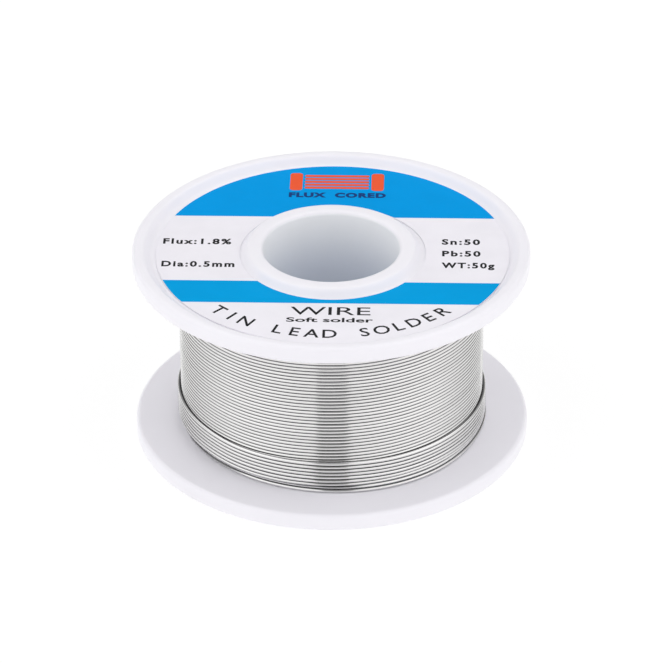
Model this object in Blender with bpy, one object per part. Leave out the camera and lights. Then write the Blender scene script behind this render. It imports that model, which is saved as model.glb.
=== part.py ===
"""Solder wire spool: two moulded halves, a ring label, and the flux-cored wire wound between the flanges.

Metres, +Z up along the bore. The origin is the centre of the base that the spool stands on.
The wire is one continuous length. Its turns are stood for by one turned ring for each layer, and its free
end, tucked against the last turns at the back, is a hollow tube with the flux core in it.
"""
import math

import bmesh
import bpy
from mathutils import Matrix, Vector

MM = 0.001
SEGMENTS = 72                     # facets round each turned piece, the same on all, so that gaps stay even

# Spool, over all
FLANGE_RADIUS = 26.5 * MM
SPOOL_HEIGHT = 28.0 * MM
MIDDLE = SPOOL_HEIGHT / 2

# Flange: a flat web, with a thicker bead round its rim
RIM_THICKNESS = 2.4 * MM
FACE_RECESS = 1.1 * MM            # the flange's outer face lies this far below the top of its rim bead
RIM_EDGE_RADIUS = 0.6 * MM
BEAD_FOOT_RADIUS = 23.7 * MM
BEAD_TOP_RADIUS = 25.2 * MM

# Collar: the raised ring round the bore, as high as the rim bead
COLLAR_TOP_RADIUS = 11.0 * MM
COLLAR_FOOT_RADIUS = 12.35 * MM
BORE_RADIUS = 9.1 * MM
BORE_LIP_RADIUS = 0.5 * MM

# Steps in each rounded edge, and in each soft slope between the face and a raised ring
EDGE_STEPS = 3
SLOPE_STEPS = 4

# Hub: the spindle tube, the barrel that the wire is wound on, and the ribs between them
SPINDLE_TUBE_RADIUS = 11.2 * MM
BARREL_RADIUS = 17.6 * MM
BARREL_WALL = 1.4 * MM
RIB_COUNT = 6
RIB_THICKNESS = 1.0 * MM
RIB_ROOT = 0.3 * MM               # how far a rib runs into the walls that it joins
RIB_SETBACK = 0.6 * MM            # below the shoulder of the joint

# Joint between the halves: a spigot inside a socket, half the barrel's wall each
JOINT_OVERLAP = 1.6 * MM
JOINT_GAP = 0.1 * MM

# Label
LABEL_INNER_RADIUS = 12.5 * MM
LABEL_OUTER_RADIUS = 23.4 * MM
LABEL_THICKNESS = 0.12 * MM
LABEL_GAP = 0.03 * MM

# Wire
WIRE_DIAMETER = 0.5 * MM
WIRE_PITCH = 0.504 * MM           # 46 turns fill the space between the flanges
TOP_TURNS_SLACK = 0.2 * MM        # the last turns lie a little more loosely
FULL_LAYERS = 6
LAYER_RISE = 0.45 * MM            # a turn nests between the two below it
TOP_TURNS = 9
WINDING_GAP = 0.05 * MM           # to the barrel and to the flanges
LAYER_GAP = 0.02 * MM

# The wire's free end
CORE_DIAMETER = 0.18 * MM
CORE_CLEARANCE = 0.01 * MM
END_START = math.radians(106)     # round the axis from +X
END_STOP = math.radians(74)
END_DROP = 2.2 * MM
END_STEPS = 10
END_SIDES = 10

PLASTIC = {"color": (0.86, 0.86, 0.88), "roughness": 0.38, "metallic": 0.0}
PRINTED_FILM = {"color": (0.0, 0.33, 0.78), "roughness": 0.3, "metallic": 0.0}
SOLDER = {"color": (0.62, 0.61, 0.60), "roughness": 0.28, "metallic": 1.0}
ROSIN = {"color": (0.55, 0.24, 0.04), "roughness": 0.35, "metallic": 0.0}


def clear_scene():
    for thing in list(bpy.data.objects):
        bpy.data.objects.remove(thing)


def principled(name, look):
    material = bpy.data.materials.new(name)
    material.use_nodes = True
    shader = material.node_tree.nodes["Principled BSDF"]
    shader.inputs["Base Color"].default_value = (*look["color"], 1.0)
    shader.inputs["Roughness"].default_value = look["roughness"]
    shader.inputs["Metallic"].default_value = look["metallic"]
    return material


def add_object(name, bm, look, smooth_angle=35):
    """Turn a bmesh into a smooth-shaded object with its own material."""
    bmesh.ops.recalc_face_normals(bm, faces=bm.faces)
    mesh = bpy.data.meshes.new(name)
    bm.to_mesh(mesh)
    bm.free()
    mesh.shade_smooth()
    mesh.set_sharp_from_angle(angle=math.radians(smooth_angle))
    mesh.materials.append(principled(name, look))
    thing = bpy.data.objects.new(name, mesh)
    bpy.context.collection.objects.link(thing)
    return thing


def turned(name, outline, look):
    """Spin a closed outline of (radius, height) points once round the bore."""
    bm = bmesh.new()
    corners = [bm.verts.new((radius, 0.0, height)) for radius, height in outline]
    sides = [bm.edges.new(pair) for pair in zip(corners, corners[1:] + corners[:1])]
    bmesh.ops.spin(bm, geom=corners + sides, cent=(0, 0, 0), axis=(0, 0, 1),
                   angle=math.tau, steps=SEGMENTS, use_merge=True)
    return add_object(name, bm, look)


def ring(name, inner, outer, low, high, look):
    return turned(name, [(inner, low), (outer, low), (outer, high), (inner, high)], look)


def rounded(corner_radius, corner_height, edge, start):
    """A quarter circle of radius edge, anticlockwise from the angle start, in degrees."""
    angles = [math.radians(start + 90 * step / EDGE_STEPS) for step in range(EDGE_STEPS + 1)]
    return [(corner_radius + edge * math.cos(a), corner_height + edge * math.sin(a)) for a in angles]


def soft_slope(from_radius, from_height, to_radius, to_height):
    """A slope that starts and ends level, between a raised ring and the flange's outer face."""
    points = []
    for step in range(SLOPE_STEPS + 1):
        blend = (1 - math.cos(math.pi * step / SLOPE_STEPS)) / 2
        points.append((from_radius + (to_radius - from_radius) * step / SLOPE_STEPS,
                       from_height + (to_height - from_height) * blend))
    return points


def half_outline(is_socket):
    """Section of one half, from its own outer face (height 0) to the joint at mid-height."""
    lip = rounded(BORE_RADIUS + BORE_LIP_RADIUS, BORE_LIP_RADIUS, BORE_LIP_RADIUS, 180)
    collar = soft_slope(COLLAR_TOP_RADIUS, 0, COLLAR_FOOT_RADIUS, FACE_RECESS)
    bead = soft_slope(BEAD_FOOT_RADIUS, FACE_RECESS, BEAD_TOP_RADIUS, 0)
    rim_radius = FLANGE_RADIUS - RIM_EDGE_RADIUS
    outer_edge = rounded(rim_radius, RIM_EDGE_RADIUS, RIM_EDGE_RADIUS, -90)
    inner_edge = rounded(rim_radius, RIM_THICKNESS - RIM_EDGE_RADIUS, RIM_EDGE_RADIUS, 0)
    barrel_inside = BARREL_RADIUS - BARREL_WALL
    joint_radius = BARREL_RADIUS - BARREL_WALL / 2
    if is_socket:
        step_radius = joint_radius + JOINT_GAP / 2
        outside_end, inside_end = MIDDLE + JOINT_OVERLAP / 2, MIDDLE - JOINT_OVERLAP / 2
    else:
        step_radius = joint_radius - JOINT_GAP / 2
        outside_end = MIDDLE - JOINT_OVERLAP / 2 - JOINT_GAP
        inside_end = MIDDLE + JOINT_OVERLAP / 2 - JOINT_GAP
    barrel = [(BARREL_RADIUS, RIM_THICKNESS), (BARREL_RADIUS, outside_end), (step_radius, outside_end),
              (step_radius, inside_end), (barrel_inside, inside_end), (barrel_inside, RIM_THICKNESS)]
    tube_end = MIDDLE - JOINT_GAP / 2
    tube = [(SPINDLE_TUBE_RADIUS, RIM_THICKNESS), (SPINDLE_TUBE_RADIUS, tube_end), (BORE_RADIUS, tube_end)]
    return lip + collar + bead + outer_edge + inner_edge + barrel + tube


def add_ribs(half, flip):
    """Radial ribs between the spindle tube and the barrel, joined to the half."""
    inside = SPINDLE_TUBE_RADIUS - RIB_ROOT
    outside = BARREL_RADIUS - BARREL_WALL + RIB_ROOT
    low = RIM_THICKNESS - RIB_ROOT
    high = MIDDLE - JOINT_OVERLAP / 2 - RIB_SETBACK
    bm = bmesh.new()
    for index in range(RIB_COUNT):
        made = bmesh.ops.create_cube(bm, size=1.0)["verts"]
        bmesh.ops.scale(bm, vec=(outside - inside, RIB_THICKNESS, high - low), verts=made)
        bmesh.ops.translate(bm, vec=((inside + outside) / 2, 0, flip((low + high) / 2)), verts=made)
        turn = Matrix.Rotation(math.tau * (index + 0.5) / RIB_COUNT, 3, "Z")
        bmesh.ops.rotate(bm, cent=(0, 0, 0), matrix=turn, verts=made)
    ribs = add_object(half.name + "_ribs", bm, PLASTIC)
    ribs.hide_render = True
    ribs.display_type = "WIRE"
    joined = half.modifiers.new("ribs", "BOOLEAN")
    joined.operation = "UNION"
    joined.solver = "EXACT"
    joined.object = ribs


def add_spool_half(name, is_socket, flip):
    outline = [(radius, flip(height)) for radius, height in half_outline(is_socket)]
    half = turned(name, outline, PLASTIC)
    add_ribs(half, flip)
    return half


def add_label():
    low = SPOOL_HEIGHT - FACE_RECESS + LABEL_GAP
    ring("label", LABEL_INNER_RADIUS, LABEL_OUTER_RADIUS, low, low + LABEL_THICKNESS, PRINTED_FILM)


def add_winding():
    """The full layers, then the turns of the last, unfinished layer, which start at the lower flange."""
    low = RIM_THICKNESS + WINDING_GAP
    high = SPOOL_HEIGHT - low
    depth = WIRE_DIAMETER + LAYER_RISE * (FULL_LAYERS - 1)
    step = depth / FULL_LAYERS
    inner = BARREL_RADIUS + WINDING_GAP
    for index in range(FULL_LAYERS):
        start = inner + step * index
        ring(f"wire_layer_{index + 1}", start, start + step - LAYER_GAP, low, high, SOLDER)
    outer = inner + depth + LAYER_RISE
    top = low + WIRE_PITCH * TOP_TURNS + TOP_TURNS_SLACK
    ring("wire_top_turns", inner + depth, outer, low, top, SOLDER)
    return outer, top


def helix_frames(radius, high):
    """Places along the wire's end, each with its outward and sideways directions."""
    frames = []
    turn = END_STOP - END_START
    ahead_drop = -END_DROP / (radius * turn)
    for step in range(END_STEPS + 1):
        part = step / END_STEPS
        angle = END_START + turn * part
        outward = Vector((math.cos(angle), math.sin(angle), 0))
        ahead = Vector((-math.sin(angle), math.cos(angle), ahead_drop)).normalized()
        place = outward * radius + Vector((0, 0, high - END_DROP * part))
        frames.append((place, outward, ahead.cross(outward).normalized()))
    return frames


def circles(bm, frames, radius):
    made = []
    for place, outward, sideways in frames:
        angles = [math.tau * side / END_SIDES for side in range(END_SIDES)]
        made.append([bm.verts.new(place + (outward * math.cos(a) + sideways * math.sin(a)) * radius)
                     for a in angles])
    return made


def skin(bm, rows):
    for row, after in zip(rows, rows[1:]):
        for side in range(END_SIDES):
            beside = (side + 1) % END_SIDES
            bm.faces.new((row[side], row[beside], after[beside], after[side]))


def add_wire_end(winding_radius, winding_top):
    """The free end of the wire, lying against the last turns, and the flux core inside it."""
    radius = winding_radius + LAYER_GAP + WIRE_DIAMETER / 2
    frames = helix_frames(radius, winding_top - WIRE_DIAMETER / 2)

    bm = bmesh.new()
    outside = circles(bm, frames, WIRE_DIAMETER / 2)
    inside = circles(bm, frames, CORE_DIAMETER / 2)
    skin(bm, outside)
    skin(bm, inside)
    skin(bm, [outside[0], inside[0]])
    skin(bm, [outside[-1], inside[-1]])
    add_object("wire_end", bm, SOLDER)

    bm = bmesh.new()
    core = circles(bm, frames, CORE_DIAMETER / 2 - CORE_CLEARANCE)
    skin(bm, core)
    bm.faces.new(core[0])
    bm.faces.new(core[-1])
    add_object("flux_core", bm, ROSIN)


def main():
    clear_scene()
    add_spool_half("spool_half_lower", True, lambda height: height)
    add_spool_half("spool_half_upper", False, lambda height: SPOOL_HEIGHT - height)
    add_label()
    winding_radius, winding_top = add_winding()
    add_wire_end(winding_radius, winding_top)


main()
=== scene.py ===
"""Solder wire spool: the looks.

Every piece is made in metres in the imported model's own frame: +Z up the bore, the base at z = 0, and the
camera's side of the spool towards -Y. The spool halves, the label and the turns of wire are fine meshes in
the places of their CAD nodes. The inner layers of wire keep their CAD nodes and get a material.
"""
import math

import bmesh
import bpy
import numpy as np
from mathutils import Matrix, Vector


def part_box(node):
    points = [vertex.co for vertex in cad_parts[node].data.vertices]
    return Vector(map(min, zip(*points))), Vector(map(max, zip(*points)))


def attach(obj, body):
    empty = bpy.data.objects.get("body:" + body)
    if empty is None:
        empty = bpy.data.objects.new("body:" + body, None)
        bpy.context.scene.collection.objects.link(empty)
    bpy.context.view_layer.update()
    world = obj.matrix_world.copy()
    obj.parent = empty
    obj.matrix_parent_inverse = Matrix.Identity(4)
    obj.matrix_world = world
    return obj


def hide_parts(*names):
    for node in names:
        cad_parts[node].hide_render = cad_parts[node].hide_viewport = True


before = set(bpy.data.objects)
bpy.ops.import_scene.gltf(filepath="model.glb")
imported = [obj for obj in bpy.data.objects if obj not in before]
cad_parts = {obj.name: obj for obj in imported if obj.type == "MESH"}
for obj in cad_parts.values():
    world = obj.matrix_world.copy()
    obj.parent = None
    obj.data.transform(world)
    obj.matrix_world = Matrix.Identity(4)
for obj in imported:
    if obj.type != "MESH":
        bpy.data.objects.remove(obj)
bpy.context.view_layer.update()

MM = 0.001
FIRST_SEED = 7


def low(node):
    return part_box(node)[0]


def high(node):
    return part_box(node)[1]


# Sizes that the frame gives
FLANGE_RADIUS = high("spool_half_lower").x
SPOOL_HEIGHT = high("spool_half_upper").z
FILM_SPREAD = 0.13 * MM           # how far the printed film reaches past the CAD label
LABEL_RADIUS = high("label").x + FILM_SPREAD
LABEL_LOW = low("label").z
LABEL_TOP = high("label").z
WOUND_LOW = low("wire_layer_6").z
WOUND_HIGH = high("wire_layer_6").z

# Spool section: the same dimensions as the CAD solids, with finer roundings
MIDDLE = SPOOL_HEIGHT / 2
RIM_THICKNESS = 2.4 * MM
FACE_RECESS = 1.1 * MM
RIM_EDGE_RADIUS = 0.6 * MM
BEAD_FOOT_RADIUS = 23.7 * MM
BEAD_TOP_RADIUS = 25.2 * MM
COLLAR_TOP_RADIUS = 11.0 * MM
COLLAR_FOOT_RADIUS = 12.35 * MM
BORE_RADIUS = 9.1 * MM
BORE_LIP_RADIUS = 0.5 * MM
SPINDLE_TUBE_RADIUS = 11.2 * MM
BARREL_RADIUS = 17.6 * MM
BARREL_WALL = 1.4 * MM
JOINT_OVERLAP = 1.6 * MM
JOINT_GAP = 0.1 * MM
RIB_COUNT = 6
RIB_THICKNESS = 1.0 * MM
RIB_ROOT = 0.3 * MM               # how far a rib runs into the walls it joins
RIB_SETBACK = 0.6 * MM            # how far it stops short of the joint
SPOOL_SEGMENTS = 256              # round the bore
EDGE_STEPS = 10                   # of a rounded edge
SLOPE_STEPS = 14                  # of a slope of the flange's face

# Wire
WIRE_RADIUS = 0.25 * MM
CORE_RADIUS = 0.08 * MM
CORE_HOLE_RADIUS = 0.09 * MM
LAYER_GAP = 0.02 * MM             # by which the CAD rings stay clear of each other
LAYER_RADIUS = high("wire_layer_6").x + LAYER_GAP - WIRE_RADIUS       # centre line of the outer full layer
TOP_RADIUS = high("wire_top_turns").x - WIRE_RADIUS                   # centre line of the turns over it
INNER_LAYERS = 5
WIRE_SEGMENTS = 144               # points to one turn of the wire
WIRE_SIDES = 10
END_SIDES = 24
CORE_SIDES = 16
WANDER_OUT = 0.008 * MM           # how far a turn strays outwards and along the bore
WANDER_ALONG = 0.006 * MM
WANDER_WAVES = 6                  # the stray is a sum of this many waves
WANDER_SLOWEST = 0.3              # waves to one turn
WANDER_FASTEST = 2.3
WANDER_SHARE = 2.4                # about the root of WANDER_WAVES, so that the sum stays near its size

# Course of the full layer. Azimuths are in degrees round the bore from +X, so the camera is at -90.
LAYER_TURNS = 45
FIRST_TURN = 2                    # the two turns before it are drawn with the turns by the lower flange
SEAM_AZIMUTH = -150.0             # where one turn is counted as ending and the next as starting
FRONT_STEP = (-128.0, -88.0)      # azimuths between which part of the step to the next turn is taken
FRONT_SHARE = 0.45                # that part
BACK_STEP = (50.0, 130.0)         # azimuths between which the rest is taken
SINK = 0.38 * MM                  # how far the layer's top end sinks into the layer beneath
SINKING_TURNS = 0.1               # turns over which it sinks
SUNK_TURNS = 0.55                 # turns to the end of the wire that is drawn

# The turns by the lower flange, in the order in which they were wound, clockwise from the seam. The first two
# end the full layer. The rest climb over them and go back up. Each knot is (turns wound, centre-line height).
TOP_KNOTS = ((0.0, 3.70), (0.08, 3.68), (0.56, 3.18), (1.06, 3.16), (1.56, 2.68), (2.08, 2.68), (2.62, 3.46))
TOP_PITCH = 0.53 * MM
TOP_TURNS = 9
CLIMB_TURNS = (2.1, 2.5)          # turns wound, between which the wire climbs on to the full layer

# The turns on the full layer lean: they lie higher at the front left and lower at the front right. Bearings
# are azimuths between -180 and 180 degrees.
LEAN_LEFT = 0.12 * MM
LEAN_LEFT_BEARINGS = (-125, -145)
LEAN_LEFT_TURNS = (2.6, 2.9)      # turns wound, over which the lean comes in
LEAN_RIGHT = 0.1 * MM
LEAN_RIGHT_BEARINGS = (-85, -60)
LEAN_RIGHT_TURNS = (2.6, 4.0)
LEAN_BACK_BEARINGS = (20, 160)    # over which the lower side goes back to the higher side, behind the spool

# The two lowest turns stand out in front of the full layer, most of all at the front right.
SECOND_BULGE = 0.71 * MM
SECOND_BULGE_BEARINGS = (-135, -62)
LOWEST_BULGE = 0.86 * MM
LOWEST_BULGE_BEARINGS = (-145, -62)
DIP = 0.3 * MM                    # how much less they stand out further to the right
DIP_BEARINGS = (-55, -20)
BULGE_ENDS = (0, 60)              # bearings over which they go back into the layer

# The tucked end of the wire
END_START = 106.0                 # azimuths of the tucked end, where the CAD node is
END_STOP = 74.0
END_LIFT = 0.1                    # of a turn, over which the wire rises out of the layer to its tucked end
END_RADIUS = high("wire_top_turns").x + LAYER_GAP + WIRE_RADIUS
END_HIGH = high("wire_top_turns").z - WIRE_RADIUS
END_DROP = 2.2 * MM
END_CURL = 1.2                    # 0 for an even curve down; more brings the drop nearer to its start
END_POINTS = 40

# Painted shade on the wire: its grooves are painted dark beside each turn's bright side, which decides how
# dark they look. Stretches are in turns wound.
PAINTED_SHADE_START = 0.22              # parts of the wire's radius, outwards, between which the painted shade in the crevices ends
PAINTED_SHADE_STOP = 0.8
OPEN_SIDE = math.radians(-6)      # the middle of a turn's bright side, free of painted shade, upwards from its outermost line
BARE_SIDE = math.radians(20)      # the same for the last turn, whose upper side has no neighbour
BARE_FROM = TOP_TURNS - 0.7       # turns wound, from which the upper side is bare
PRESSED_STRETCHES = ((8.73, 8.79),)               # where it lies as far up again
OVER_GROOVE = math.radians(40)    # how far the bright side turns away from a groove under the turn that has painted shade
UPPER_STRETCHES = ((2.84, 3.15), (5.66, 5.74))    # and where it does
UNDER_GROOVE = math.radians(80)   # the same for a groove with painted shade over the turn
LOWER_STRETCHES = ((0.84, 1.12), (1.97, 2.15))

# Finish
PLASTIC_WHITE = (0.885, 0.87, 0.92)
FLOW_SHADE = 0.985                # of the plastic's colour, in its flow marks
BORE_PAINTED_LIGHT = (0.96, 0.97, 0.99)   # painted light and shade in the bore: lighter near its top, colder and darker further in
BORE_PAINTED_SHADE = (0.79, 0.825, 0.9)
BORE_SHADE_DEPTH = 10 * MM
BORE_STARTS = BORE_RADIUS + 0.2 * BORE_LIP_RADIUS     # the radius at which the bore's painted light and shade starts
FILM_WHITE = (0.87, 0.85, 0.905)
FILM_SHADE = 0.97                 # of the film's colour, in its darker patches
BLUE = (0.0, 0.315, 0.755)
# painted light: the lower band's blue is the upper band's ink drawn a little lighter, as more light falls on
# the front
BLUE_PAINTED_LIT = (0.0, 0.34, 0.73)
ORANGE = (0.84, 0.1, 0.03)
NAVY = (0.0, 0.04, 0.19)
BLACK = (0.012, 0.012, 0.014)
FILMS = {"white": (FILM_WHITE, 0.4), "blue": (BLUE, 0.02), "blue_painted_lit": (BLUE_PAINTED_LIT, 0.02),
         "orange": (ORANGE, 0.1), "navy": (NAVY, 0.1), "black": (BLACK, 0.1)}      # colours and gloss
SOLDER_DULL = (0.73, 0.725, 0.72)
SOLDER_BRIGHT = (0.81, 0.805, 0.80)
# painted shade: the dark colour of the grooves between turns
SOLDER_PAINTED_SHADE = (0.17, 0.17, 0.175)
ROSIN_DARK = (0.42, 0.17, 0.025)
ROSIN_LIGHT = (0.62, 0.3, 0.06)
TABLE_DARK = (0.19, 0.19, 0.19)
TABLE_PALE = (0.2, 0.2, 0.2)
# painted shade under the spool: a dull grey-blue sheet covers the glowing table there
SHADE_SHEET_GREY = (0.3, 0.33, 0.37)
WHITE = (1.0, 1.0, 1.0)
NOISE_LOW, NOISE_HIGH = 0.3, 0.7  # between which a noise mostly stays
SHARP = 35                        # angles in degrees, from which an edge is drawn sharp
SHARP_WIRE = 50
SHARP_PRINT = 20

# Label. Places on it are in its print's own frame, in millimetres: x to the right and y away from the camera,
# before the print's small turn.
PRINT_TURN = math.radians(-1.64)
LABEL_CENTRE = (0.2 * MM, -0.05 * MM)
LABEL_INNER = 12.4
LABEL_OUTER = LABEL_RADIUS / MM
FILM_EDGE = 0.02 * MM
FILM_EDGE_STEPS = 3
TOP_BAND = 9.45                   # lower edge of the upper band
LOW_BAND = (-7.72, -13.3)         # edges of the lower band
INK_THICKNESS = 0.012 * MM
ARC_STEPS = 96
BAR_CORNER_STEPS = 6
WELD_DISTANCE = 0.0005 * MM

# A plain sign for a spool
SIGN_LEFT, SIGN_RIGHT = -6.3, 6.5
SIGN_BOTTOM, SIGN_TOP = 16.75, 21.5
SIGN_FLANGE = 1.7
SIGN_FLANGE_CORNER = 0.5
SIGN_TURNS = 5
SIGN_TURNS_START = 17.5           # the middle of the lowest of them
SIGN_TURNS_PITCH = 0.81
SIGN_TURNS_INSET = 2.0            # from the sign's sides
SIGN_WIRE = 0.28                  # half of a turn's height
SIGN_WIRE_CORNER = 0.27

# Words. Small lines are (text, x, y, width).
CAPITAL_HEIGHT = 0.729            # of the built-in font, at size 1
LETTER_STEPS = 3
TITLE = dict(text="FLUX  CORED", x=-6.4, y=15.5, height=1.2, width=13.2, weight=0.06, spacing=1.15)
PRODUCT = dict(text="WIRE", x=0.2, y=-15.2, height=2.1, width=10.4, align="CENTER")
PRODUCT_KIND = dict(text="Soft solder", x=0.0, y=-17.5, height=1.1, width=11.3, align="CENTER", weight=0.02)
SMALL_LINES = (("Flux:1.8%", -22.8, 2.6, 9.1), ("Dia:0.5mm", -22.7, -3.4, 9.7),
               ("Sn:50", 14.5, 3.1, 5.1), ("Pb:50", 14.5, 0.0, 5.1), ("WT:50g", 14.6, -3.1, 7.0))
SMALL_PRINT = dict(height=1.4, weight=0.035, spacing=1.25)
ARC_TEXT = "TIN LEAD SOLDER"
ARC_RADIUS = 20.95
ARC_START, ARC_STOP = -133.4, -46.0
ARC_PRINT = dict(height=2.1, align="CENTER", weight=0.01)

# Camera
CAMERA_ELEVATION = 31.07          # angles are in degrees, and the lens and the sensor in millimetres
CAMERA_DISTANCE = 621.9 * MM
CAMERA_TARGET = Vector((0, 0, 14.71 * MM))
CAMERA_LENS = 251.1
CAMERA_SENSOR = 36
CAMERA_ROLL = -0.23

# Table and tent. The tent's places are directions, as sines.
TABLE_GLOW = 0.83
TABLE_REACH = 4.0
TABLE_DROP = 0.02 * MM
SHADE_SHEET_REACH = 17 * MM
SHADE_SHEET_DROP = 0.01 * MM
TENT_TOP = 1.45                   # strengths of the tent's light
TENT_FRONT = 1.31
TENT_BACK = 0.35
TENT_SLIT = 0.33
TENT_FRONT_STARTS = -0.35         # where one strength goes over into the next
TENT_BACK_STARTS = 0.85
TOP_STARTS = (0.5, 0.72)          # the bright top is a ring, from here
TOP_ENDS = (0.98, 0.88)           # to here
SLIT_WIDTH = 0.18                 # from the slit's middle to its edge
SLIT_SOFT = 0.02
SLIT_EDGE = 0.78                  # the tent's light beside the slit, as a share of the light further from it
SLIT_FADES = 0.85
SLIT_ENDS = 0.35                  # how far the slit runs back overhead
FOOT_HEIGHT = 0.025               # the tent's foot is as white as the table, so that no edge shows


# ---------------------------------------------------------------- materials

class Nodes:
    """The node tree of a material or of the world, with short calls to add a node and to join two sockets."""

    def __init__(self, owner, shader="Principled BSDF"):
        owner.use_nodes = True
        self.owner = owner
        self.tree = owner.node_tree
        self.shader = self.tree.nodes[shader]

    def add(self, kind, **settings):
        node = self.tree.nodes.new("ShaderNode" + kind)
        for key, value in settings.items():
            if key in node.inputs:
                node.inputs[key].default_value = value
            else:
                setattr(node, key, value)
        return node

    def join(self, source, target):
        self.tree.links.new(source, target)

    def feed(self, name, source):
        """Let another node's socket decide one of the shader's values."""
        self.join(source, self.shader.inputs[name])

    def set(self, **values):
        for key, value in values.items():
            self.shader.inputs[key.replace("_", " ")].default_value = value

    def noise(self, vector, scale, detail=2.0, roughness=0.5):
        node = self.add("TexNoise", Scale=scale, Detail=detail, Roughness=roughness)
        self.join(vector, node.inputs["Vector"])
        return node.outputs["Fac"]

    def ramp(self, value, start, stop, lowest=0.0, highest=1.0):
        """An even curve from lowest, where the value is start, to highest, where it is stop."""
        node = self.add("MapRange", interpolation_type="SMOOTHSTEP")
        for name, number in zip(("From Min", "From Max", "To Min", "To Max"), (start, stop, lowest, highest)):
            node.inputs[name].default_value = number
        self.join(value, node.inputs["Value"])
        return node.outputs["Result"]

    def spread(self, noise, lowest=0.0, highest=1.0):
        """Noise, which stays mostly in the middle, stretched over a range of numbers."""
        return self.ramp(noise, NOISE_LOW, NOISE_HIGH, lowest, highest)

    def math(self, operation, *values):
        node = self.add("Math", operation=operation)
        for index, value in enumerate(values):
            self.join(value, node.inputs[index])
        return node.outputs["Value"]

    def parts(self, vector):
        """The x, y and z sockets of a vector."""
        node = self.add("SeparateXYZ")
        self.join(vector, node.inputs["Vector"])
        return node.outputs

    def from_axis(self, place):
        """How far a place is from the bore's axis."""
        flat = self.add("VectorMath", operation="MULTIPLY")
        flat.inputs[1].default_value = (1, 1, 0)
        self.join(place, flat.inputs[0])
        length = self.add("VectorMath", operation="LENGTH")
        self.join(flat.outputs["Vector"], length.inputs[0])
        return length.outputs["Value"]

    def blend(self, factor, first, second):
        """A colour between two, each of them a colour or another node's socket."""
        node = self.add("MixRGB")
        for name, colour in (("Color1", first), ("Color2", second)):
            if isinstance(colour, tuple):
                node.inputs[name].default_value = (*colour, 1)
            else:
                self.join(colour, node.inputs[name])
        self.join(factor, node.inputs["Fac"])
        return node.outputs["Color"]

    def bump(self, height, distance, before=None):
        node = self.add("Bump", Strength=1.0, Distance=distance)
        self.join(height, node.inputs["Height"])
        if before:
            self.join(before, node.inputs["Normal"])
        return node.outputs["Normal"]


def new_material(name):
    return Nodes(bpy.data.materials.new(name))


def shade(colour, factor):
    return tuple(part * factor for part in colour)


def moulded_plastic():
    """White polystyrene: a satin skin with faint orange peel and flow marks, which lets in a little light."""
    nodes = new_material("white_plastic")
    place = nodes.add("TexCoord").outputs["Object"]
    flow = nodes.spread(nodes.noise(place, scale=90, detail=3))
    outside = nodes.blend(flow, shade(PLASTIC_WHITE, FLOW_SHADE), PLASTIC_WHITE)
    # painted light and shade in the bore: lighter than the outside near the top, colder and darker deeper in
    in_bore = nodes.ramp(nodes.from_axis(place), BORE_STARTS, BORE_RADIUS)
    deep = nodes.ramp(nodes.parts(place)["Z"], SPOOL_HEIGHT, SPOOL_HEIGHT - BORE_SHADE_DEPTH)
    bore = nodes.blend(deep, BORE_PAINTED_LIGHT, BORE_PAINTED_SHADE)
    nodes.feed("Base Color", nodes.blend(in_bore, outside, bore))
    nodes.feed("Roughness", nodes.spread(nodes.noise(place, scale=700, detail=3), 0.3, 0.4))
    peel = nodes.bump(nodes.noise(place, scale=900), 0.004 * MM)
    nodes.feed("Normal", nodes.bump(nodes.noise(place, scale=9000), 0.0006 * MM, before=peel))
    nodes.set(Subsurface_Weight=0.12, Subsurface_Radius=(1.0, 1.0, 1.0), Subsurface_Scale=1.2 * MM, IOR=1.5)
    return nodes.owner


def drawn_solder():
    """Bright tin-lead wire. Each turn is a little duller or brighter than the next, and it has painted shade
    where it lies against its neighbours. The grain attribute is the place on the straightened wire: x along
    it, and y towards its bright side, away from the painted shade."""
    nodes = new_material("solder")
    grain = nodes.add("Attribute", attribute_name="grain").outputs["Vector"]
    along = nodes.add("Mapping", Scale=(14, 0, 0))
    nodes.join(grain, along.inputs["Vector"])
    dullness = nodes.noise(along.outputs["Vector"], scale=1.0, detail=4, roughness=0.6)
    metal = nodes.blend(nodes.spread(dullness), SOLDER_DULL, SOLDER_BRIGHT)
    # painted shade: the wire is painted dark away from its bright side, in the grooves between turns
    painted_bright_side = nodes.ramp(nodes.parts(grain)["Y"], PAINTED_SHADE_START * WIRE_RADIUS, PAINTED_SHADE_STOP * WIRE_RADIUS)
    nodes.feed("Base Color", nodes.blend(painted_bright_side, SOLDER_PAINTED_SHADE, metal))
    nodes.feed("Roughness", nodes.spread(dullness, 0.15, 0.1))
    nodes.set(Metallic=1.0)
    return nodes.owner


def film(name, colour, gloss):
    """Printed sticker film: even ink with the faint waviness of thin film on moulded plastic."""
    nodes = new_material(name)
    place = nodes.add("TexCoord").outputs["Object"]
    patchy = nodes.spread(nodes.noise(place, scale=260, detail=3))
    nodes.feed("Base Color", nodes.blend(patchy, shade(colour, FILM_SHADE), colour))
    nodes.feed("Roughness", nodes.spread(nodes.noise(place, scale=2500), 0.4, 0.48))
    nodes.feed("Normal", nodes.bump(nodes.noise(place, scale=500), 0.003 * MM))
    nodes.set(Specular_IOR_Level=gloss)
    return nodes.owner


def rosin_flux():
    """Amber rosin, a little cloudy."""
    nodes = new_material("rosin_flux")
    place = nodes.add("TexCoord").outputs["Object"]
    cloud = nodes.spread(nodes.noise(place, scale=9000, detail=3))
    nodes.feed("Base Color", nodes.blend(cloud, ROSIN_DARK, ROSIN_LIGHT))
    nodes.set(Roughness=0.3, Subsurface_Weight=0.2, Subsurface_Scale=0.1 * MM)
    return nodes.owner


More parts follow.
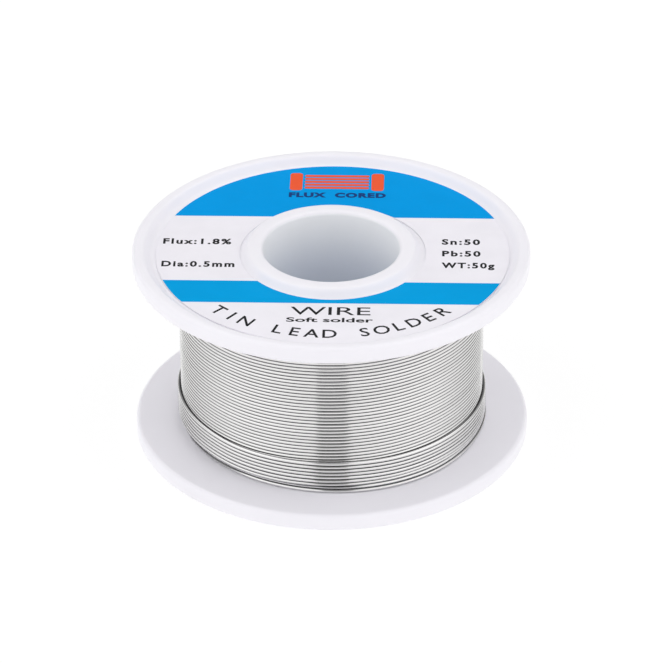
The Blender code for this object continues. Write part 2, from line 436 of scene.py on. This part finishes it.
def light_table():
    """Pale acrylic lit from under, so that it stays white round the spool."""
    nodes = new_material("light_table")
    place = nodes.add("TexCoord").outputs["Object"]
    cloud = nodes.spread(nodes.noise(place, scale=6))
    nodes.feed("Base Color", nodes.blend(cloud, TABLE_DARK, TABLE_PALE))
    nodes.set(Roughness=0.9, Specular_IOR_Level=0.0)
    nodes.set(Emission_Color=(*WHITE, 1), Emission_Strength=TABLE_GLOW)
    return nodes.owner


# Painted shade under the spool: a dull sheet over the glowing table, so that no glow lights the bore from
# below.
def painted_shade_sheet():
    nodes = new_material("painted_shade_sheet")
    nodes.set(Base_Color=(*SHADE_SHEET_GREY, 1), Roughness=0.9)
    return nodes.owner


def tent_cloth(nodes, towards):
    """The tent's light without its slit."""
    walls = nodes.ramp(towards["Y"], TENT_BACK_STARTS, TENT_FRONT_STARTS, TENT_BACK, TENT_FRONT)
    inside_ring = nodes.ramp(towards["Z"], *TOP_STARTS)
    overhead = nodes.math("MULTIPLY", inside_ring, nodes.ramp(towards["Z"], *TOP_ENDS))
    return nodes.blend(overhead, walls, shade(WHITE, TENT_TOP))


def off_slit(nodes, towards):
    """0 in the slit in front of the spool and 1 far from it."""
    sideways = nodes.math("ABSOLUTE", towards["X"])
    beside = nodes.ramp(sideways, SLIT_WIDTH - SLIT_SOFT, SLIT_WIDTH + SLIT_SOFT)
    fading = nodes.ramp(sideways, SLIT_WIDTH, SLIT_FADES, SLIT_EDGE, 1.0)
    behind = nodes.ramp(towards["Y"], 0.0, SLIT_ENDS)
    return nodes.math("MAXIMUM", nodes.math("MULTIPLY", beside, fading), behind)


def light_tent():
    """White cloth all round, brightest overhead and at the front, with a dim slit in front for the camera."""
    nodes = Nodes(bpy.data.worlds.new("light_tent"), "Background")
    towards = nodes.parts(nodes.add("TexCoord").outputs["Generated"])
    tent = nodes.blend(off_slit(nodes, towards), shade(WHITE, TENT_SLIT), tent_cloth(nodes, towards))
    above_foot = nodes.ramp(towards["Z"], FOOT_HEIGHT, 2 * FOOT_HEIGHT)
    nodes.feed("Strength", nodes.blend(above_foot, WHITE, tent))
    nodes.set(Color=(*WHITE, 1))
    return nodes.owner


# ---------------------------------------------------------------- mesh helpers

def new_piece(name, mesh, *materials, sharp=SHARP):
    """An object with its mesh's faces turned outwards and its edges smooth up to an angle, in degrees."""
    bm = bmesh.new()
    bm.from_mesh(mesh)
    bmesh.ops.recalc_face_normals(bm, faces=bm.faces)
    bm.to_mesh(mesh)
    bm.free()
    mesh.shade_smooth()
    mesh.set_sharp_from_angle(angle=math.radians(sharp))
    for material in materials:
        mesh.materials.append(material)
    piece = bpy.data.objects.new(name, mesh)
    bpy.context.collection.objects.link(piece)
    return piece


def settle(piece, slot, *nodes):
    """Fix a finished piece to the spool's one body and hide the CAD nodes it stands for. The slot is not
    used.
    """
    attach(piece, "root")
    if nodes:
        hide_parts(*nodes)


def grid_faces(rows, points, close_rows):
    """Quads between rows of points, each row being a closed loop."""
    faces = []
    for row in range(rows if close_rows else rows - 1):
        here, after = row * points, (row + 1) % rows * points
        for point in range(points):
            beside = (point + 1) % points
            faces.append((here + point, here + beside, after + beside, after + point))
    return faces


def turned(name, outline, segments, *materials, centre=(0, 0)):
    """Turn a closed outline of (radius, height) points once round the bore."""
    points = [(centre[0] + radius * math.cos(turn), centre[1] + radius * math.sin(turn), height)
              for turn in (math.tau * step / segments for step in range(segments))
              for radius, height in outline]
    mesh = bpy.data.meshes.new(name)
    mesh.from_pydata(points, [], grid_faces(segments, len(outline), True))
    return new_piece(name, mesh, *materials)


def rounded(corner_radius, corner_height, edge, start, steps=EDGE_STEPS):
    """A quarter circle of radius edge, anticlockwise from the angle start, in degrees."""
    angles = [math.radians(start + 90 * step / steps) for step in range(steps + 1)]
    return [(corner_radius + edge * math.cos(a), corner_height + edge * math.sin(a)) for a in angles]


def smooth(value, start, stop):
    """0 up to start, 1 beyond stop, and an even curve between them. It takes numbers and arrays, and start
    may be greater than stop."""
    part = np.clip((value - start) / (stop - start), 0, 1)
    return part * part * (3 - 2 * part)


# ---------------------------------------------------------------- spool

def soft_slope(from_radius, from_height, to_radius, to_height):
    """Points along a slope that starts and ends level."""
    points = []
    for step in range(SLOPE_STEPS + 1):
        blend = (1 - math.cos(math.pi * step / SLOPE_STEPS)) / 2
        points.append((from_radius + (to_radius - from_radius) * step / SLOPE_STEPS,
                       from_height + (to_height - from_height) * blend))
    return points


def face_outline():
    """Section of a half's outer face and rim, from the bore to the flange's inner side."""
    rim_radius = FLANGE_RADIUS - RIM_EDGE_RADIUS
    return (rounded(BORE_RADIUS + BORE_LIP_RADIUS, BORE_LIP_RADIUS, BORE_LIP_RADIUS, 180)
            + soft_slope(COLLAR_TOP_RADIUS, 0, COLLAR_FOOT_RADIUS, FACE_RECESS)
            + soft_slope(BEAD_FOOT_RADIUS, FACE_RECESS, BEAD_TOP_RADIUS, 0)
            + rounded(rim_radius, RIM_EDGE_RADIUS, RIM_EDGE_RADIUS, -90)
            + rounded(rim_radius, RIM_THICKNESS - RIM_EDGE_RADIUS, RIM_EDGE_RADIUS, 0))


def half_outline(is_socket):
    """Section of one half, from its own outer face (height 0) to the joint at mid-height."""
    barrel_inside = BARREL_RADIUS - BARREL_WALL
    joint_radius = BARREL_RADIUS - BARREL_WALL / 2
    if is_socket:
        step_radius = joint_radius + JOINT_GAP / 2
        outside_end = MIDDLE + JOINT_OVERLAP / 2
        inside_end = MIDDLE - JOINT_OVERLAP / 2
    else:
        step_radius = joint_radius - JOINT_GAP / 2
        outside_end = MIDDLE - JOINT_OVERLAP / 2 - JOINT_GAP
        inside_end = MIDDLE + JOINT_OVERLAP / 2 - JOINT_GAP
    barrel = [(BARREL_RADIUS, RIM_THICKNESS), (BARREL_RADIUS, outside_end), (step_radius, outside_end),
              (step_radius, inside_end), (barrel_inside, inside_end), (barrel_inside, RIM_THICKNESS)]
    tube_end = MIDDLE - JOINT_GAP / 2
    tube = [(SPINDLE_TUBE_RADIUS, RIM_THICKNESS), (SPINDLE_TUBE_RADIUS, tube_end), (BORE_RADIUS, tube_end)]
    return face_outline() + barrel + tube


def rib_blocks(flip):
    """The ribs between the spindle tube and the barrel, as one object of separate blocks."""
    inside = SPINDLE_TUBE_RADIUS - RIB_ROOT
    outside = BARREL_RADIUS - BARREL_WALL + RIB_ROOT
    start = RIM_THICKNESS - RIB_ROOT
    stop = MIDDLE - JOINT_OVERLAP / 2 - RIB_SETBACK
    bm = bmesh.new()
    for index in range(RIB_COUNT):
        made = bmesh.ops.create_cube(bm, size=1.0)["verts"]
        bmesh.ops.scale(bm, vec=(outside - inside, RIB_THICKNESS, stop - start), verts=made)
        bmesh.ops.translate(bm, vec=((inside + outside) / 2, 0, flip((start + stop) / 2)), verts=made)
        turn = Matrix.Rotation(math.tau * (index + 0.5) / RIB_COUNT, 3, "Z")
        bmesh.ops.rotate(bm, cent=(0, 0, 0), matrix=turn, verts=made)
    mesh = bpy.data.meshes.new("ribs")
    bm.to_mesh(mesh)
    bm.free()
    return new_piece("ribs", mesh)


def apply_modifiers(piece):
    """Swap the piece's mesh for the one its modifiers make."""
    shown = piece.evaluated_get(bpy.context.evaluated_depsgraph_get())
    mesh = bpy.data.meshes.new_from_object(shown)
    piece.modifiers.clear()
    piece.data = mesh


def add_spool_half(name, node, is_socket, flip, material):
    """One half of the spool. Flip turns a height over the half's own outer face into one in the frame."""
    outline = [(radius, flip(height)) for radius, height in half_outline(is_socket)]
    half = turned(name, outline, SPOOL_SEGMENTS, material)
    ribs = rib_blocks(flip)
    joined = half.modifiers.new("ribs", "BOOLEAN")
    joined.operation = "UNION"
    joined.solver = "EXACT"
    joined.object = ribs
    apply_modifiers(half)
    bpy.data.objects.remove(ribs)
    settle(half, "white_plastic", node)


# ---------------------------------------------------------------- wire

def wander(turns, size, seed):
    """A small smooth stray that differs from one turn to the next."""
    chance = np.random.default_rng(seed)
    total = np.zeros_like(turns)
    for _ in range(WANDER_WAVES):
        waves = chance.uniform(WANDER_SLOWEST, WANDER_FASTEST)
        total += np.sin(math.tau * (waves * turns + chance.uniform()))
    return total * size / WANDER_SHARE


def wire_points(azimuths, radii, heights):
    angles = np.radians(azimuths)
    return np.stack([radii * np.cos(angles), radii * np.sin(angles), heights], axis=1)


def bearing(azimuths):
    """The same azimuths, between -180 and 180 degrees."""
    return (azimuths + 180) % 360 - 180


def unit(vectors):
    return vectors / np.linalg.norm(vectors, axis=1, keepdims=True)


def rings(path, radius, sides):
    """Circles of points square to a path, with each point's distance along it and its angle upwards from the
    wire's outer side."""
    ahead = unit(np.gradient(path, axis=0))
    upward = unit(np.cross(ahead, path * (1, 1, 0)))
    upward *= np.sign(upward[:, 2:])
    outward = np.cross(ahead, upward)
    outward *= np.sign(np.sum(outward * path * (1, 1, 0), axis=1, keepdims=True))
    turn = np.arange(sides) * math.tau / sides
    across = np.cos(turn)[None, :, None] * outward[:, None, :]
    across += np.sin(turn)[None, :, None] * upward[:, None, :]
    points = (path[:, None, :] + across * radius).reshape(-1, 3)
    lengths = np.linalg.norm(np.diff(path, axis=0), axis=1)
    along = np.concatenate([[0], np.cumsum(lengths)])
    return points, np.repeat(along, sides), np.tile(turn, len(path))


def keep_grain(mesh, along, angles, radius, painted_bright_side):
    """Store each point's place on the wire, drawn straight, for the wire's material: x along the wire, and y
    towards the middle of its bright side, which its painted shade leaves free."""
    straight = np.stack([along, np.cos(angles - painted_bright_side) * radius, np.sin(angles) * radius], axis=1)
    grain = mesh.attributes.new("grain", "FLOAT_VECTOR", "POINT")
    grain.data.foreach_set("vector", straight.astype(np.float32).ravel())


def add_wire(name, path, radius, material, sides=WIRE_SIDES, above=OPEN_SIDE, below=OPEN_SIDE):
    """A closed round wire along a path. Above and below give the middle of its bright side, free of painted
    shade, for its upper and its lower half, as one angle or as an angle for each of the path's points."""
    points, along, angles = rings(path, radius, sides)
    above, below = (np.repeat(np.broadcast_to(side, len(path)), sides) for side in (above, below))
    painted_bright_side = np.where(np.sin(angles) > 0, above, below)
    faces = grid_faces(len(path), sides, False)
    last = len(points) - sides
    faces += [tuple(range(sides)), tuple(range(last, last + sides))]
    mesh = bpy.data.meshes.new(name)
    mesh.from_pydata(points.tolist(), [], faces)
    keep_grain(mesh, along, angles, radius, painted_bright_side)
    return new_piece(name, mesh, material, sharp=SHARP_WIRE)


def full_layer_path():
    """The outer full layer, rising anticlockwise from its first drawn turn, with each step taken in two
    places. Under the upper flange it sinks into the layer beneath, from which it came up."""
    stop = LAYER_TURNS + SUNK_TURNS
    turns = np.arange(FIRST_TURN * WIRE_SEGMENTS, int(stop * WIRE_SEGMENTS)) / WIRE_SEGMENTS
    whole, part = np.divmod(turns, 1)
    azimuths = SEAM_AZIMUTH + 360 * part
    step = FRONT_SHARE * smooth(azimuths, *FRONT_STEP) + (1 - FRONT_SHARE) * smooth(azimuths, *BACK_STEP)
    lowest = WOUND_LOW + WIRE_RADIUS
    pitch = (WOUND_HIGH - WOUND_LOW - 2 * WIRE_RADIUS) / LAYER_TURNS
    heights = lowest + pitch * np.minimum(whole + step, LAYER_TURNS) + wander(turns, WANDER_ALONG, FIRST_SEED)
    sunk = SINK * smooth(turns, LAYER_TURNS, LAYER_TURNS + SINKING_TURNS)
    return wire_points(azimuths, LAYER_RADIUS - sunk + wander(turns, WANDER_OUT, FIRST_SEED + 1), heights)


def lean(turns, bearings):
    """How much higher the turns over the full layer lie at the front left, and lower at the front right."""
    back = smooth(bearings, *LEAN_BACK_BEARINGS)
    left = smooth(bearings, *LEAN_LEFT_BEARINGS) + back
    right = smooth(bearings, *LEAN_RIGHT_BEARINGS) - back
    rise = LEAN_LEFT * left * smooth(turns, *LEAN_LEFT_TURNS)
    return rise - LEAN_RIGHT * right * smooth(turns, *LEAN_RIGHT_TURNS)


def top_heights(turns, azimuths):
    """Heights of the turns by the lower flange: eased between the knots, then a steady climb."""
    heights = np.full_like(turns, TOP_KNOTS[0][1] * MM)
    for (start, before), (stop, after) in zip(TOP_KNOTS, TOP_KNOTS[1:]):
        heights += (after - before) * MM * smooth(turns, start, stop)
    climb = np.maximum(turns - TOP_KNOTS[-1][0], 0) * TOP_PITCH
    return heights + climb + lean(turns, bearing(azimuths))


def top_radii(turns, azimuths):
    """The lowest two turns lie in the full layer at the left and stand out in front of it to the right. The
    others lie on the full layer."""
    bearings = bearing(azimuths)
    front = 1 - smooth(bearings, *BULGE_ENDS)
    dip = DIP * smooth(bearings, *DIP_BEARINGS)
    second = LAYER_RADIUS + (SECOND_BULGE * smooth(bearings, *SECOND_BULGE_BEARINGS) - dip) * front
    lowest = LAYER_RADIUS + (LOWEST_BULGE * smooth(bearings, *LOWEST_BULGE_BEARINGS) - dip) * front
    climbing = LAYER_RADIUS + (TOP_RADIUS - LAYER_RADIUS) * smooth(turns, *CLIMB_TURNS)
    return np.where(turns < 1, second, np.where(turns < 2, lowest, climbing))


def top_turns():
    """How many turns have been wound at each point of the path."""
    stop = TOP_TURNS + (SEAM_AZIMUTH + 360 - END_START) / 360
    return np.linspace(0, stop, int(stop * WIRE_SEGMENTS))


def top_path(turns):
    """The turns by the lower flange. The last of them rises to the tucked end."""
    stop = turns[-1]
    azimuths = SEAM_AZIMUTH - 360 * turns
    heights = top_heights(turns, azimuths) + wander(turns, WANDER_ALONG, FIRST_SEED + 2)
    radii = top_radii(turns, azimuths) + wander(turns, WANDER_OUT, FIRST_SEED + 3)
    last = smooth(turns, stop - END_LIFT, stop)
    return wire_points(azimuths, radii + (END_RADIUS - radii) * last, heights + (END_HIGH - heights) * last)


def within(turns, stretches, ease=0.05):
    """1 in the stretches and 0 outside them, with an even curve beside each."""
    total = np.zeros_like(turns)
    for start, stop in stretches:
        total += smooth(turns, start - ease, start) * smooth(-turns, -stop - ease, -stop)
    return total


def bright_sides(turns):
    """The middle of the bright side, free of painted shade, for the upper and the lower half of the turns by
    the lower flange.
    """
    above = np.where(turns > BARE_FROM, BARE_SIDE, OPEN_SIDE) + BARE_SIDE * within(turns, PRESSED_STRETCHES)
    above -= UNDER_GROOVE * within(turns, LOWER_STRETCHES)
    below = OPEN_SIDE + OVER_GROOVE * within(turns, UPPER_STRETCHES)
    return above, below


def end_path():
    """The tucked end, which runs on round the turns and down."""
    part = np.linspace(0, 1, END_POINTS)
    azimuths = END_START + (END_STOP - END_START) * part
    drop = END_DROP * part * part * (1 + END_CURL * (1 - part))
    return wire_points(azimuths, np.full_like(part, END_RADIUS), END_HIGH - drop)


def add_wire_end(material, core_material):
    """The free end: a tube of solder, cut square, with the flux core showing a little way inside it."""
    path = end_path()
    outside, along, angles = rings(path, WIRE_RADIUS, END_SIDES)
    inside = rings(path, CORE_HOLE_RADIUS, END_SIDES)[0]
    count = len(outside)
    faces = grid_faces(len(path), END_SIDES, False)
    faces += [tuple(corner + count for corner in face) for face in faces]
    for first in (0, count - END_SIDES):
        for side in range(END_SIDES):
            here, beside = first + side, first + (side + 1) % END_SIDES
            faces.append((here, beside, beside + count, here + count))
    mesh = bpy.data.meshes.new("wire_tail")
    mesh.from_pydata(np.concatenate([outside, inside]).tolist(), [], faces)
    keep_grain(mesh, np.tile(along, 2), np.tile(angles, 2), WIRE_RADIUS, 0.0)
    settle(new_piece("wire_tail", mesh, material, sharp=SHARP_WIRE), "solder", "wire_end")
    core = add_wire("flux_in_wire", path, CORE_RADIUS, core_material, sides=CORE_SIDES)
    settle(core, "rosin_flux", "flux_core")


def add_winding(solder, flux):
    settle(add_wire("wound_wire", full_layer_path(), WIRE_RADIUS, solder), "solder", "wire_layer_6")
    turns = top_turns()
    above, below = bright_sides(turns)
    top = add_wire("wound_wire_top", top_path(turns), WIRE_RADIUS, solder, above=above, below=below)
    settle(top, "solder", "wire_top_turns")
    add_wire_end(solder, flux)
    for index in range(1, INNER_LAYERS + 1):
        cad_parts[f"wire_layer_{index}"].material_slots[0].material = solder


# ---------------------------------------------------------------- label

def chord(radius, height):
    """Angle, from +x, at which a circle crosses a height."""
    return math.asin(height / radius)


def arc(radius, start, stop):
    angles = [start + (stop - start) * step / ARC_STEPS for step in range(ARC_STEPS + 1)]
    return [(radius * math.cos(a), radius * math.sin(a)) for a in angles]


def top_band_outline():
    outer, inner = chord(LABEL_OUTER, TOP_BAND), chord(LABEL_INNER, TOP_BAND)
    return arc(LABEL_OUTER, outer, math.pi - outer) + arc(LABEL_INNER, math.pi - inner, inner)


def low_band_outline():
    upper, lower = chord(LABEL_OUTER, LOW_BAND[0]), chord(LABEL_OUTER, LOW_BAND[1])
    inner = chord(LABEL_INNER, LOW_BAND[0])
    return (arc(LABEL_OUTER, lower, upper) + arc(LABEL_INNER, inner, -math.pi - inner)
            + arc(LABEL_OUTER, -math.pi - upper, -math.pi - lower))


def rounded_bar(left, bottom, right, top, corner):
    """A rectangle with round corners."""
    points = []
    for x, y, start in ((right - corner, top - corner, 0), (left + corner, top - corner, 90),
                        (left + corner, bottom + corner, 180), (right - corner, bottom + corner, 270)):
        points += rounded(x, y, corner, start, steps=BAR_CORNER_STEPS)
    return points


def spool_sign():
    """A plain sign for a spool: two flanges and the turns between them."""
    bars = []
    for left in (SIGN_LEFT, SIGN_RIGHT - SIGN_FLANGE):
        bars.append(rounded_bar(left, SIGN_BOTTOM, left + SIGN_FLANGE, SIGN_TOP, SIGN_FLANGE_CORNER))
    left, right = SIGN_LEFT + SIGN_TURNS_INSET, SIGN_RIGHT - SIGN_TURNS_INSET
    for index in range(SIGN_TURNS):
        middle = SIGN_TURNS_START + index * SIGN_TURNS_PITCH
        bars.append(rounded_bar(left, middle - SIGN_WIRE, right, middle + SIGN_WIRE, SIGN_WIRE_CORNER))
    return bars


class Ink:
    """One colour of print: flat shapes and letters gathered into one solid layer. Print that lies over other
    print is two layers thick."""

    def __init__(self, layers=1):
        self.bm = bmesh.new()
        self.thickness = INK_THICKNESS * layers

    def shape(self, outline):
        corners = [self.bm.verts.new((x * MM, y * MM, 0)) for x, y in outline]
        base = self.bm.faces.new(corners)
        raised = bmesh.ops.extrude_face_region(self.bm, geom=[base])["geom"]
        bmesh.ops.translate(self.bm, vec=(0, 0, self.thickness),
                            verts=[part for part in raised if isinstance(part, bmesh.types.BMVert)])

    def words(self, text, x, y, height, width=None, align="LEFT", turn=0.0, weight=0.0, spacing=1.0):
        """Letters of a given capital height, centred on y, and fitted to a width if one is given."""
        curve = bpy.data.curves.new("letters", "FONT")
        curve.body = text
        curve.align_x = align
        curve.size = 1.0
        curve.space_character = spacing
        curve.resolution_u = LETTER_STEPS
        curve.offset = weight
        curve.extrude = 0.5
        thing = bpy.data.objects.new("letters", curve)
        bpy.context.collection.objects.link(thing)
        bpy.context.view_layer.update()
        mesh = bpy.data.meshes.new_from_object(thing.evaluated_get(bpy.context.evaluated_depsgraph_get()))
        widest = max(v.co.x for v in mesh.vertices) - min(v.co.x for v in mesh.vertices)
        tall = height / CAPITAL_HEIGHT
        wide = width / widest if width else tall
        place = (Matrix.Translation((x * MM, y * MM, 0)) @ Matrix.Rotation(turn, 4, "Z")
                 @ Matrix.Diagonal((wide * MM, tall * MM, self.thickness, 1))
                 @ Matrix.Translation((0, -CAPITAL_HEIGHT / 2, 0.5)))
        mesh.transform(place)
        self.bm.from_mesh(mesh)
        bpy.data.objects.remove(thing)
        bpy.data.curves.remove(curve)
        bpy.data.meshes.remove(mesh)

    def finish(self, name, material):
        bmesh.ops.remove_doubles(self.bm, verts=self.bm.verts, dist=WELD_DISTANCE)
        mesh = bpy.data.meshes.new(name)
        self.bm.to_mesh(mesh)
        self.bm.free()
        mesh.transform(Matrix.Translation((*LABEL_CENTRE, LABEL_TOP)) @ Matrix.Rotation(PRINT_TURN, 4, "Z"))
        piece = new_piece(name, mesh, material, sharp=SHARP_PRINT)
        settle(piece, "printed_film")


def add_shapes(name, outlines, material, layers=1):
    ink = Ink(layers)
    for outline in outlines:
        ink.shape(outline)
    ink.finish(name, material)


def add_arc_text(ink):
    """Letters evenly spaced along the label's front edge, their feet outwards."""
    for index, letter in enumerate(ARC_TEXT):
        if letter == " ":
            continue
        part = index / (len(ARC_TEXT) - 1)
        angle = math.radians(ARC_START + (ARC_STOP - ARC_START) * part)
        x, y = ARC_RADIUS * math.cos(angle), ARC_RADIUS * math.sin(angle)
        ink.words(letter, x, y, turn=angle + math.pi / 2, **ARC_PRINT)


def add_words(films):
    title = Ink(layers=2)
    title.words(**TITLE)
    title.finish("label_title", films["navy"])
    text = Ink()
    for line, x, y, width in SMALL_LINES:
        text.words(line, x, y, width=width, **SMALL_PRINT)
    text.words(**PRODUCT)
    text.words(**PRODUCT_KIND)
    add_arc_text(text)
    text.finish("label_text", films["black"])


def add_label():
    films = {name: film(f"label_{name}", *finish) for name, finish in FILMS.items()}
    inner, outer = LABEL_INNER * MM, LABEL_RADIUS
    outline = ([(inner, LABEL_LOW), (outer, LABEL_LOW)]
               + rounded(outer - FILM_EDGE, LABEL_TOP - FILM_EDGE, FILM_EDGE, 0, steps=FILM_EDGE_STEPS)
               + rounded(inner + FILM_EDGE, LABEL_TOP - FILM_EDGE, FILM_EDGE, 90, steps=FILM_EDGE_STEPS))
    sheet = turned("label_film", outline, SPOOL_SEGMENTS, films["white"], centre=LABEL_CENTRE)
    settle(sheet, "printed_film", "label")
    add_shapes("label_band_top", [top_band_outline()], films["blue"])
    add_shapes("label_band_low", [low_band_outline()], films["blue_painted_lit"])
    add_shapes("label_sign", spool_sign(), films["orange"], layers=2)
    add_words(films)


# ---------------------------------------------------------------- studio

def add_camera():
    angle = math.radians(CAMERA_ELEVATION)
    back = Vector((0, -math.cos(angle), math.sin(angle)))
    lens = bpy.data.cameras.new("camera")
    lens.lens = CAMERA_LENS
    lens.sensor_width = CAMERA_SENSOR
    camera = bpy.data.objects.new("camera", lens)
    camera.location = CAMERA_TARGET + back * CAMERA_DISTANCE
    aim = (-back).to_track_quat("-Z", "Y").to_matrix().to_4x4()
    camera.rotation_euler = (aim @ Matrix.Rotation(math.radians(CAMERA_ROLL), 4, "Z")).to_euler()
    bpy.context.collection.objects.link(camera)
    bpy.context.scene.camera = camera


def add_stage_sheet(name, reach, height, material):
    """A flat square under the spool that reaches so far to each side."""
    mesh = bpy.data.meshes.new(name)
    corners = [(-reach, -reach, 0), (reach, -reach, 0), (reach, reach, 0), (-reach, reach, 0)]
    mesh.from_pydata(corners, [], [(0, 1, 2, 3)])
    mesh.materials.append(material)
    sheet = bpy.data.objects.new(name, mesh)
    sheet.location.z = height
    bpy.context.collection.objects.link(sheet)


def add_studio():
    add_stage_sheet("light_table", TABLE_REACH, -TABLE_DROP, light_table())
    add_stage_sheet("painted_shade_under_spool", SHADE_SHEET_REACH, -SHADE_SHEET_DROP, painted_shade_sheet())
    bpy.context.scene.world = light_tent()
    bpy.context.scene.view_settings.view_transform = "Standard"


def right_way_up(height):
    return height


def upside_down(height):
    return SPOOL_HEIGHT - height


def main():
    add_camera()
    add_studio()
    plastic = moulded_plastic()
    add_spool_half("spool_shell_lower", "spool_half_lower", True, right_way_up, plastic)
    add_spool_half("spool_shell_upper", "spool_half_upper", False, upside_down, plastic)
    add_winding(drawn_solder(), rosin_flux())
    add_label()


main()
